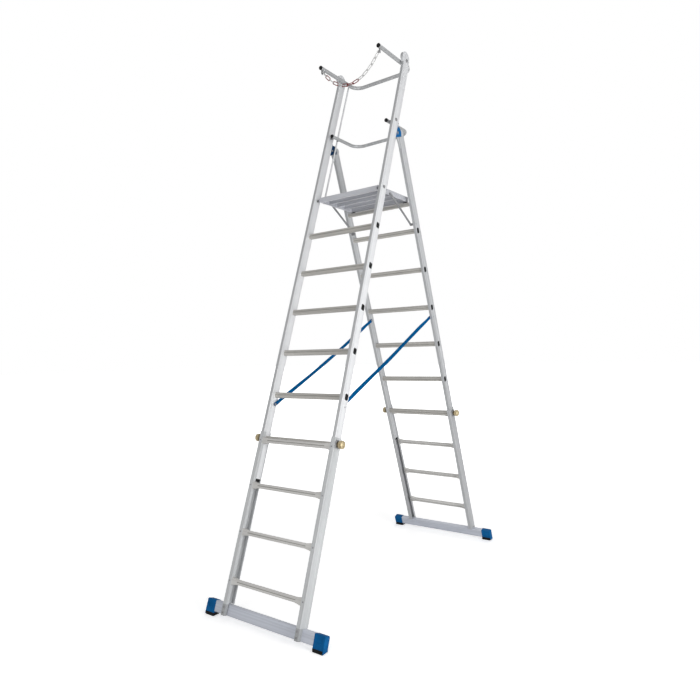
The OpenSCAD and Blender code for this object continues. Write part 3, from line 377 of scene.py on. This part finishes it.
# Finishes: a name, a light and a dark colour, then how metal was drawn or how rough plastic is
mats = {
    "front_al": drawn_metal(
        "aluminium_front", (0.80, 0.815, 0.83), (0.68, 0.695, 0.71), DOWN_FRONT,
        metallic=0.30, rough=0.42, faces=(FRONT_FLANGE_SHADE, WEB_FACE_LIGHT),
    ),
    "rear_al": drawn_metal(
        "aluminium_rear", (0.68, 0.69, 0.71), (0.57, 0.585, 0.60), DOWN_REAR,
        metallic=0.30, rough=0.44, faces=(REAR_FLANGE_SHADE,),
    ),
    "front_low": drawn_metal(
        "aluminium_low_front", (0.69, 0.705, 0.715), (0.575, 0.59, 0.60), DOWN_FRONT,
        metallic=0.30, rough=0.45, foot=FOOT_END,
    ),
    "rear_low": drawn_metal(
        "aluminium_low_rear", (0.62, 0.63, 0.645), (0.51, 0.52, 0.535), DOWN_REAR,
        metallic=0.30, rough=0.45, foot=FOOT_END,
    ),
    "across_al": drawn_metal(
        "aluminium_traverse", (0.67, 0.70, 0.775), (0.575, 0.60, 0.67), ACROSS, metallic=0.25, rough=0.44,
    ),
    "tube_al": drawn_metal(
        "aluminium_tube", (0.62, 0.63, 0.64), (0.49, 0.50, 0.51), FORE_AFT, metallic=0.40, rough=0.36,
    ),
    "rung": drawn_metal(
        "rung_ribbed", (0.62, 0.605, 0.57), (0.51, 0.495, 0.465), ACROSS,
        metallic=0.30, rough=0.48, line=RUNG_LINE,
    ),
    # Painted shade for the floors of the rung grooves
    "groove": drawn_metal(
        "groove_floor", (0.36, 0.35, 0.325), (0.26, 0.25, 0.23), ACROSS,
        metallic=0.30, rough=0.60, line=RUNG_LINE,
    ),
    "rung_low": drawn_metal(
        "rung_low_ribbed", (0.76, 0.75, 0.73), (0.64, 0.63, 0.61), ACROSS,
        metallic=0.30, rough=0.48, line=RUNG_LINE,
    ),
    "deck": drawn_metal(
        "deck_ribbed", (0.64, 0.65, 0.69), (0.54, 0.55, 0.59), ACROSS,
        metallic=0.25, rough=0.48, line=DECK_LINE, faces=(DECK_FACE_LIGHT,),
    ),
    "plate": drawn_metal(
        "bracket_plate", (0.36, 0.365, 0.375), (0.26, 0.265, 0.275), ACROSS, metallic=0.45, rough=0.45,
    ),
    "strut": drawn_metal(
        "strut_flat", (0.40, 0.405, 0.415), (0.29, 0.295, 0.305), FORE_AFT, metallic=0.45, rough=0.42,
    ),
    "steel": drawn_metal(
        "zinc_steel", (0.46, 0.46, 0.47), (0.31, 0.31, 0.32), ACROSS, metallic=0.70, rough=0.38, wear=0.3,
    ),
    "brass": knob_material(),
    "grey": plastic(
        "grey_plastic", (0.19, 0.195, 0.20), (0.13, 0.135, 0.14), rough=0.55, grain=700.0, shine=0.2,
    ),
    "black": plastic(
        "black_plastic", (0.010, 0.010, 0.011), (0.005, 0.005, 0.006), rough=0.55, grain=700.0, shine=0.2,
    ),
    "blue": plastic(
        "blue_plastic", (0.002, 0.112, 0.315), (0.0015, 0.076, 0.220), rough=0.52, grain=520.0, shine=0.08,
    ),
    "hinge": plastic(
        "blue_hinge", (0.002, 0.120, 0.335), (0.0015, 0.082, 0.235), rough=0.50, grain=520.0, shine=0.12,
        # Painted shade on the inward faces of the hinge blocks
        inward_shade=(0.004, 0.020, 0.060),
    ),
    "rubber": plastic(
        "rubber_sole", (0.014, 0.014, 0.015), (0.008, 0.008, 0.008), rough=0.78, grain=420.0, shine=0.15,
    ),
    "red": plastic(
        "chain_red", (0.25, 0.022, 0.020), (0.15, 0.014, 0.013), rough=0.36, grain=600.0, coat=0.2,
    ),
    "white": plastic(
        "chain_white", (0.62, 0.62, 0.61), (0.48, 0.48, 0.48), rough=0.36, grain=600.0, coat=0.2,
    ),
    "web": webbing_material(),
    "thread": plastic("strap_thread", (0.02, 0.10, 0.28), (0.012, 0.06, 0.18), rough=0.7, grain=1500.0),
}

# The nodes that wear each finish
WEARS = {
    "front_al": ["front_stile_left", "front_stile_right", "link_rods"],
    "rear_al": ["rear_stile_left", "rear_stile_right", "hinge_tongues"],
    "strut": ["deck_struts"],
    "front_low": ["front_outer_left", "front_outer_right"],
    "rear_low": ["rear_outer_left", "rear_outer_right"],
    "across_al": ["front_traverse", "rear_traverse"],
    "tube_al": ["top_rail_tube", "knee_rail_tube"],
    "rung": ["front_rungs", "rear_rungs", "rest_bar"],
    "rung_low": ["front_lower_rungs", "rear_lower_rungs"],
    "deck": ["deck_cheeks", "deck_planks", "deck_edges"],
    "plate": ["front_brackets", "rear_brackets"],
    "steel": [
        "pivot_bolts", "front_strap_studs", "rear_studs", "front_lock_housings", "rear_lock_housings",
        "front_rivets", "rear_rivets", "front_bolts", "rear_bolts", "deck_studs", "top_rail_studs",
        "knee_rail_studs", "chain_lugs",
    ],
    "brass": ["lock_front_left", "lock_front_right", "lock_rear_left", "lock_rear_right"],
    "black": [
        "front_rung_plugs", "rear_rung_plugs", "front_plugs", "rear_plugs", "rest_pads",
        "top_rail_caps", "knee_rail_caps",
    ],
    "grey": ["pivot_spacers"],
    "blue": ["front_shoes", "rear_shoes"],
    "hinge": ["hinge_blocks"],
    "rubber": ["front_soles", "rear_soles"],
    "red": ["chain_dark"],
    "white": ["chain_pale"],
    "web": ["strap_left", "strap_right"],
}
FINISH = {name: mats[key] for key, names in WEARS.items() for name in names}
for name, finish in FINISH.items():
    NODES[name].data.materials.clear()
    NODES[name].data.materials.append(finish)


def piece(name, mesh, mat, body):
    """An added object in one finish, attached to a body when one is given."""
    obj = bpy.data.objects.new(name, mesh)
    scene.collection.objects.link(obj)
    obj.data.materials.append(mats[mat])
    if body:
        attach(obj, body)
    return obj


def mesh_from(name, bm):
    mesh = bpy.data.meshes.new(name)
    bm.to_mesh(mesh)
    bm.free()
    return mesh


# Bevelled copies of the CAD nodes, so that their edges catch the light; widths in metres.
# Edges sharper than SHARP are bevelled, and those under FLAT are dissolved
SHARP = math.radians(30.0)
FLAT = math.radians(0.5)
WELD = 2e-6
STILE_BEVEL, OUTER_BEVEL = 0.0015, 0.0016
LEG_BEVELS = {
    "shoes": 0.0030,
    "soles": 0.0012,
    "brackets": 0.0009,
    "lock_housings": 0.0016,
    "bolts": 0.0010,
    "plugs": 0.0016,
}
TOP_BEVELS = {
    "hinge_blocks": 0.0012,
    "hinge_tongues": 0.0012,
    "link_rods": 0.0008,
    "deck_struts": 0.0008,
    "deck_cheeks": 0.0008,
    "pivot_bolts": 0.0010,
    "rest_pads": 0.0014,
    "chain_lugs": 0.0008,
}


def soften(node, width, keep=None):
    """A copy of a node with its outer sharp edges bevelled; keep chooses among those edges."""
    mesh = NODES[node].data.copy()
    mesh.name = node + "_soft"
    for extra in ("custom_normal", "sharp_face", "sharp_edge"):
        if extra in mesh.attributes:
            mesh.attributes.remove(mesh.attributes[extra])
    bm = bmesh.new()
    bm.from_mesh(mesh)
    bmesh.ops.remove_doubles(bm, verts=bm.verts, dist=WELD)
    bmesh.ops.dissolve_limit(bm, angle_limit=FLAT, verts=bm.verts, edges=bm.edges)
    edges = []
    for face in bm.faces:
        face.smooth = False
    for edge in bm.edges:
        angle = edge.calc_face_angle(0.0)
        edge.smooth = angle <= SHARP
        if FLAT < angle <= SHARP:
            for face in edge.link_faces:
                face.smooth = True
        elif angle > SHARP and edge.is_convex and (keep is None or keep(edge)):
            edges.append(edge)
    made = bmesh.ops.bevel(
        bm, geom=edges, offset=width, offset_type="OFFSET", segments=2, profile=0.5,
        affect="EDGES", clamp_overlap=True,
    )
    for face in made["faces"]:
        face.smooth = True
        for edge in face.edges:
            edge.smooth = True
    bm.to_mesh(mesh)
    bm.free()
    copy = bpy.data.objects.new(node + "_soft", mesh)
    scene.collection.objects.link(copy)
    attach(copy, NODES[node]["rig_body"])
    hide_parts(node)
    return copy


# Edges farther than this from the middle line of a leg are outer corners of its stiles
STILE_CORNER, OUTER_CORNER = STILE_D * 0.47, STILE_D * 0.50


def leg_depth(point, rear):
    """Distance of a point from the middle line of a leg, toward the other leg."""
    y = -point.y if rear else point.y
    return y * math.cos(LEAN) - (point.z - APEX) * math.sin(LEAN)


def corner_of(rear, half):
    """Picks the edges along the outer corners of a stile, and leaves its grooves and holes."""
    def keep(edge):
        mid = (edge.verts[0].co + edge.verts[1].co) / 2
        return abs(leg_depth(mid, rear)) > half
    return keep


# Groove floors lie between these depths below the sides of a rung; SIDE_ON is the least cosine of a side
GROOVE_NEAR, GROOVE_FAR = 0.0005, 0.0016
SIDE_ON = 0.95


def darken_grooves(node, rear):
    """A copy of the rungs of one leg with painted shade on the floors of the grooves along their sides."""
    copy = soften(node, 0.0, lambda edge: False)
    copy.data.materials.append(mats["groove"])
    out = on_leg(0.0, 1.0, rear) - on_leg(0.0, 0.0, rear)
    depths = {}
    for face in copy.data.polygons:
        if abs(face.normal.dot(out)) > SIDE_ON:
            depths[face.index] = leg_depth(face.center, rear)
    outer, inner = max(depths.values()), min(depths.values())
    for index, depth in depths.items():
        if GROOVE_NEAR < outer - depth < GROOVE_FAR or GROOVE_NEAR < depth - inner < GROOVE_FAR:
            # Painted shade in the groove floors
            copy.data.polygons[index].material_index = 1


for word in ("left", "right"):
    for leg, rear in LEGS:
        soften(f"{leg}_stile_{word}", STILE_BEVEL, corner_of(rear, STILE_CORNER))
        soften(f"{leg}_outer_{word}", OUTER_BEVEL, corner_of(rear, OUTER_CORNER))
for leg, _ in LEGS:
    for part, width in LEG_BEVELS.items():
        soften(f"{leg}_{part}", width)
for leg, rear in LEGS:
    darken_grooves(leg + "_rungs", rear)
    darken_grooves(leg + "_lower_rungs", rear)
for node, width in TOP_BEVELS.items():
    soften(node, width)


# Small turned details: washers under the pivot bolts and screws in the lock housings
ROUND = 24
WASHER_OUT, WASHER_IN, WASHER_T = 0.0125, 0.0102, 0.0010
WASHER_RIM_T, WASHER_FACE = WASHER_T * 0.7, WASHER_OUT * 0.96
SCREW_R, SCREW_H = 0.0032, 0.0024
SCREW_DEPTH, SCREW_ALONG = 0.0140, 0.0185
SOCKET_HALF, SOCKET_FLOOR = 0.0013, SCREW_H * 0.3

# Rows of a turned shape: an outward distance, a radius and whether the ring is a hexagon
WASHER_ROWS = (
    (0.0, WASHER_OUT, False),
    (WASHER_RIM_T, WASHER_OUT, False),
    (WASHER_T, WASHER_FACE, False),
    (WASHER_T, WASHER_IN, False),
    (0.0, WASHER_IN, False),
)
SCREW_ROWS = (
    (0.0, SCREW_R, False),
    (SCREW_H * 0.35, SCREW_R, False),
    (SCREW_H * 0.75, SCREW_R * 0.85, False),
    (SCREW_H, SCREW_R * 0.58, False),
    (SCREW_H, SOCKET_HALF, True),
    (SOCKET_FLOOR, SOCKET_HALF, True),
)


def island_centres(node):
    """Middle and half size of every separate solid of a node."""
    bm = bmesh.new()
    bm.from_mesh(NODES[node].data)
    bmesh.ops.remove_doubles(bm, verts=bm.verts, dist=WELD)
    left = set(bm.verts)
    found = []
    while left:
        queue = [left.pop()]
        points = []
        while queue:
            vert = queue.pop()
            points.append(vert.co.copy())
            for edge in vert.link_edges:
                other = edge.other_vert(vert)
                if other in left:
                    left.remove(other)
                    queue.append(other)
        low_at = Vector([min(p[k] for p in points) for k in range(3)])
        high_at = Vector([max(p[k] for p in points) for k in range(3)])
        found.append(((low_at + high_at) / 2, (high_at - low_at) / 2))
    bm.free()
    return sorted(found, key=lambda item: tuple(item[0]))


def six_sided(angle):
    """Distance from the middle to the edge of a hexagon of half width 1 at an angle."""
    return 1.0 / math.cos((angle + math.pi / 6) % (math.pi / 3) - math.pi / 6)


def add_turned(bm, at, side, rows, closed):
    """Rings about the X axis at a point, joined in order; if closed, the last also joins the first."""
    rings = []
    for out, radius, hexed in rows:
        ring = []
        for k in range(ROUND):
            angle = 2 * math.pi * k / ROUND
            r = radius * (six_sided(angle) if hexed else 1.0)
            ring.append(bm.verts.new(at + Vector((side * out, r * math.cos(angle), r * math.sin(angle)))))
        rings.append(ring)
    pairs = list(zip(rings, rings[1:]))
    if closed:
        pairs.append((rings[-1], rings[0]))
    for a, b in pairs:
        for k in range(ROUND):
            n = (k + 1) % ROUND
            bm.faces.new((a[k], a[n], b[n], b[k]))
    if not closed:
        bm.faces.new(rings[0])
        bm.faces.new(rings[-1])


def finish_turned(name, bm, mat, body):
    bmesh.ops.recalc_face_normals(bm, faces=bm.faces)
    for edge in bm.edges:
        edge.smooth = edge.calc_face_angle(0.0) < SHARP
    for face in bm.faces:
        face.smooth = True
    piece(name, mesh_from(name, bm), mat, body)


def add_washers():
    bm = bmesh.new()
    for centre, _ in island_centres("pivot_bolts"):
        side = 1 if centre.x > 0 else -1
        add_turned(bm, Vector((side * FRAME_X, centre.y, centre.z)), side, WASHER_ROWS, True)
    finish_turned("pivot_washers", bm, "steel", NODES["pivot_bolts"]["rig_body"])


def add_lock_screws(leg, rear):
    """Four screws in the outer face of each lock housing of a leg."""
    node = leg + "_lock_housings"
    down = on_leg(1.0, 0.0, rear) - on_leg(0.0, 0.0, rear)
    deep = on_leg(0.0, 1.0, rear) - on_leg(0.0, 0.0, rear)
    bm = bmesh.new()
    for centre, half in island_centres(node):
        side = 1 if centre.x > 0 else -1
        face_x = centre.x + side * half.x
        for a in (-1, 1):
            for b in (-1, 1):
                at = centre + down * (a * SCREW_ALONG) + deep * (b * SCREW_DEPTH)
                add_turned(bm, Vector((face_x, at.y, at.z)), side, SCREW_ROWS, False)
    finish_turned(leg + "_lock_screws", bm, "steel", NODES[node]["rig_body"])


add_washers()
for leg, rear in LEGS:
    add_lock_screws(leg, rear)


# Straps: flat webbing that turns partway about its own line, doubled and sewn at both ends.
# A rounded end reaches END_REACH past its stud, and the square of its width share stays above END_LEAST
FLAT_STEPS, EDGE_STEPS, BAND_STEPS, FOLD_STEPS = 6, 4, 150, 24
END_REACH, END_LEAST = STRAP_HALF * 0.98, 0.02
STRAP_SAG, STRAP_BOW = 0.010, 0.0065
FOLD_NEAR, FOLD_FAR, FOLD_WIDE = 0.012, 0.048, 0.97
FOLD_LIFT, TIP_LIFT, TIP_THICK = STRAP_T * 1.02, STRAP_T * 0.75, 0.5
SEAM_INSET, SEAM_HALF = 0.006, 0.0088
STITCH_PITCH, STITCH_LIFT = 0.0042, 0.00005
STITCH_SIZE = (0.0016, 0.00045, 0.00042)
STITCH_SIDES, STITCH_RINGS = 8, 5

# Shares of the run and the turn of the band there, in radians
BAND_TURNS = (
    (0.0, 0.0), (0.05, 0.0), (0.16, 0.70), (0.32, 1.05), (0.48, 0.90),
    (0.66, 1.05), (0.84, 0.70), (0.95, 0.0), (1.0, 0.0),
)


def band_section():
    """Points round the webbing: a flat face and a rounded edge, and the same again from the other side."""
    r = STRAP_T / 2
    flat = STRAP_HALF - r
    points = []
    for k in range(FLAT_STEPS + 1):
        points.append((-flat + 2 * flat * k / FLAT_STEPS, r))
    for k in range(1, EDGE_STEPS):
        angle = math.pi / 2 - math.pi * k / EDGE_STEPS
        points.append((flat + r * math.cos(angle), r * math.sin(angle)))
    return points + [(-x, -y) for x, y in points]


SECTION = band_section()


def band_mesh(name, rings, uvs):
    """A closed tube through rings of equal point counts, with one UV per ring point."""
    bm = bmesh.new()
    layer = bm.loops.layers.uv.new("weave")
    rows = [[bm.verts.new(p) for p in ring] for ring in rings]
    count = len(rings[0])
    for i in range(len(rows) - 1):
        for j in range(count):
            k = (j + 1) % count
            face = bm.faces.new((rows[i][j], rows[i][k], rows[i + 1][k], rows[i + 1][j]))
            face.smooth = True
            for loop, (a, b) in zip(face.loops, ((i, j), (i, k), (i + 1, k), (i + 1, j))):
                loop[layer].uv = uvs[a][b]
    bm.faces.new(rows[0][::-1])
    bm.faces.new(rows[-1])
    bmesh.ops.recalc_face_normals(bm, faces=bm.faces)
    return mesh_from(name, bm)


def turn_at(t):
    """Turn of the band about its own line at a share of its run, still at both ends."""
    for (a, x), (b, y) in zip(BAND_TURNS, BAND_TURNS[1:]):
        if a <= t <= b:
            s = (t - a) / (b - a)
            s = s * s * (3 - 2 * s)
            return x + (y - x) * s
    return 0.0


def strap_band(name, start, end, wide, out):
    """The webbing from stud to stud, with rounded ends past the studs."""
    along = (end - start).normalized()
    length = (end - start).length
    rings, uvs = [], []
    for i in range(BAND_STEPS + 1):
        s = -END_REACH + (length + 2 * END_REACH) * i / BAND_STEPS
        t = min(1.0, max(0.0, s / length))
        over = max(-s, s - length, 0.0)
        narrow = math.sqrt(max(END_LEAST, 1.0 - (over / STRAP_HALF) ** 2))
        turn = turn_at(t)
        across = wide * math.cos(turn) + out * math.sin(turn)
        through = out * math.cos(turn) - wide * math.sin(turn)
        sag = Vector((0, 0, -STRAP_SAG * math.sin(math.pi * t) ** 2))
        centre = start + along * s + sag - out * (STRAP_BOW * turn)
        rings.append([centre + across * (a * narrow) + through * b for a, b in SECTION])
        uvs.append([(a * narrow, s) for a, _ in SECTION])
    return band_mesh(name, rings, uvs)


def strap_fold(name, origin, way, wide, out):
    """The doubled end of the webbing on the inner face of the band, pressed flat at its two tips."""
    rings, uvs = [], []
    for i in range(FOLD_STEPS + 1):
        at_tip = i in (0, FOLD_STEPS)
        s = FOLD_NEAR + (FOLD_FAR - FOLD_NEAR) * i / FOLD_STEPS
        thick = TIP_THICK if at_tip else 1.0
        centre = origin + way * s - out * (TIP_LIFT if at_tip else FOLD_LIFT)
        rings.append([centre + wide * (a * FOLD_WIDE) + out * (b * thick) for a, b in SECTION])
        uvs.append([(a, s) for a, _ in SECTION])
    return band_mesh(name, rings, uvs)


def strap_stitches(name, origin, way, wide, out):
    """Stitches on both faces of a sewn end, along a box and its two diagonals."""
    near, far = FOLD_NEAR + SEAM_INSET, FOLD_FAR - SEAM_INSET
    corners = [(near, -SEAM_HALF), (far, -SEAM_HALF), (far, SEAM_HALF), (near, SEAM_HALF)]
    seams = list(zip(corners, corners[1:] + corners[:1]))
    seams += [(corners[0], corners[2]), (corners[1], corners[3])]
    outer = STRAP_T / 2 + STITCH_LIFT
    inner = -FOLD_LIFT - STRAP_T / 2 - STITCH_LIFT
    size = Matrix.Diagonal((*STITCH_SIZE, 1.0))
    bm = bmesh.new()
    for (s0, w0), (s1, w1) in seams:
        count = max(2, int(math.hypot(s1 - s0, w1 - w0) / STITCH_PITCH))
        direction = (way * (s1 - s0) + wide * (w1 - w0)).normalized()
        turn = direction.to_track_quat("X", "Z").to_matrix().to_4x4()
        for k in range(count):
            a = (k + 0.5) / count
            at = origin + way * (s0 + (s1 - s0) * a) + wide * (w0 + (w1 - w0) * a)
            for lift in (outer, inner):
                made = bmesh.ops.create_uvsphere(
                    bm, u_segments=STITCH_SIDES, v_segments=STITCH_RINGS, radius=1.0,
                )
                stitch = Matrix.Translation(at + out * lift) @ turn @ size
                bmesh.ops.transform(bm, matrix=stitch, verts=made["verts"])
    for face in bm.faces:
        face.smooth = True
    return mesh_from(name, bm)


def make_strap(side, word):
    x_mid = STRAP_X + STRAP_T / 2
    start = on_leg(STRAP_FRONT_L, STRAP_IN, False, side * x_mid)
    end = on_leg(STRAP_REAR_L, STRAP_IN, True, side * x_mid)
    along = (end - start).normalized()
    out = Vector((side, 0, 0))
    wide = along.cross(out).normalized()
    name = "strap_band_" + word
    band = piece(name, strap_band(name, start, end, wide, out), "web", None)
    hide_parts("strap_" + word)
    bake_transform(band)
    for leg, origin, way, body in (
        ("front", start, along, "front_frame"), ("rear", end, -along, "rear_frame"),
    ):
        name = f"strap_fold_{leg}_{word}"
        piece(name, strap_fold(name, origin, way, wide, out), "web", body)
        name = f"strap_stitch_{leg}_{word}"
        piece(name, strap_stitches(name, origin, way, wide, out), "thread", body)


make_strap(-1, "left")
make_strap(1, "right")


# Floor, world and lamps
FLOOR_HALF = 80.0
FLOOR_TONE = (0.90, 0.90, 0.90)
FLOOR_GLOW_NEAR, FLOOR_GLOW_FAR = 0.42, 1.0
GLOW_START, GLOW_STOP = 1.6, 6.0
WORLD_LIGHT, WORLD_SEEN = 0.50, 1.0
WHITE = (1.0, 1.0, 1.0, 1.0)

# A name, a place, the point it looks at, width and height in metres, and power in watts
LAMPS = (
    ("key", (5.4, -1.4, 1.2), (0.0, 0.0, 1.2), (3.0, 3.2), 212.0),
    ("fill", (1.8, -6.0, 3.4), (0.0, 0.0, 1.8), (3.0, 3.0), 75.0),
    ("back", (-2.0, 5.0, 4.0), (0.0, 0.0, 1.8), (3.0, 3.0), 45.0),
)


def make_floor():
    """A pale floor that whitens with distance, so no horizon shows."""
    mesh = bpy.data.meshes.new("floor")
    s = FLOOR_HALF
    mesh.from_pydata([(-s, -s, 0), (s, -s, 0), (s, s, 0), (-s, s, 0)], [], [(0, 1, 2, 3)])
    floor = bpy.data.objects.new("floor", mesh)
    scene.collection.objects.link(floor)
    m = Mat("floor_pale")
    away = m.new("ShaderNodeVectorMath", operation="LENGTH")
    m.link(m.coord.outputs["Object"], away.inputs[0])
    glow = m.ramp(away.outputs["Value"], FLOOR_GLOW_NEAR, FLOOR_GLOW_FAR, GLOW_START, GLOW_STOP)
    path = m.new("ShaderNodeLightPath")
    m.set(Base_Color=FLOOR_TONE, Roughness=0.9, Specular_IOR_Level=0.0)
    m.bsdf.inputs["Emission Color"].default_value = WHITE
    m.link(m.math("MULTIPLY", path.outputs["Is Camera Ray"], glow), m.bsdf.inputs["Emission Strength"])
    floor.data.materials.append(m.mat)


def make_world():
    """An even white room that looks brighter than the light it gives."""
    world = bpy.data.worlds.new("studio")
    scene.world = world
    world.use_nodes = True
    tree = world.node_tree
    back = tree.nodes["Background"]
    back.inputs["Color"].default_value = WHITE
    path = tree.nodes.new("ShaderNodeLightPath")
    seen = tree.nodes.new("ShaderNodeMath")
    seen.operation = "MAXIMUM"
    tree.links.new(path.outputs["Is Camera Ray"], seen.inputs[0])
    tree.links.new(path.outputs["Is Transmission Ray"], seen.inputs[1])
    level = tree.nodes.new("ShaderNodeMapRange")
    level.inputs["To Min"].default_value = WORLD_LIGHT
    level.inputs["To Max"].default_value = WORLD_SEEN
    tree.links.new(seen.outputs[0], level.inputs["Value"])
    tree.links.new(level.outputs["Result"], back.inputs["Strength"])


def area_light(name, at, target, size, power):
    data = bpy.data.lights.new(name, "AREA")
    data.shape = "RECTANGLE"
    data.size, data.size_y = size
    data.energy = power
    obj = bpy.data.objects.new(name, data)
    scene.collection.objects.link(obj)
    obj.location = at
    obj.rotation_euler = (Vector(target) - Vector(at)).to_track_quat("-Z", "Y").to_euler()


make_floor()
make_world()
for lamp in LAMPS:
    area_light(*lamp)

scene.view_settings.view_transform = "Standard"
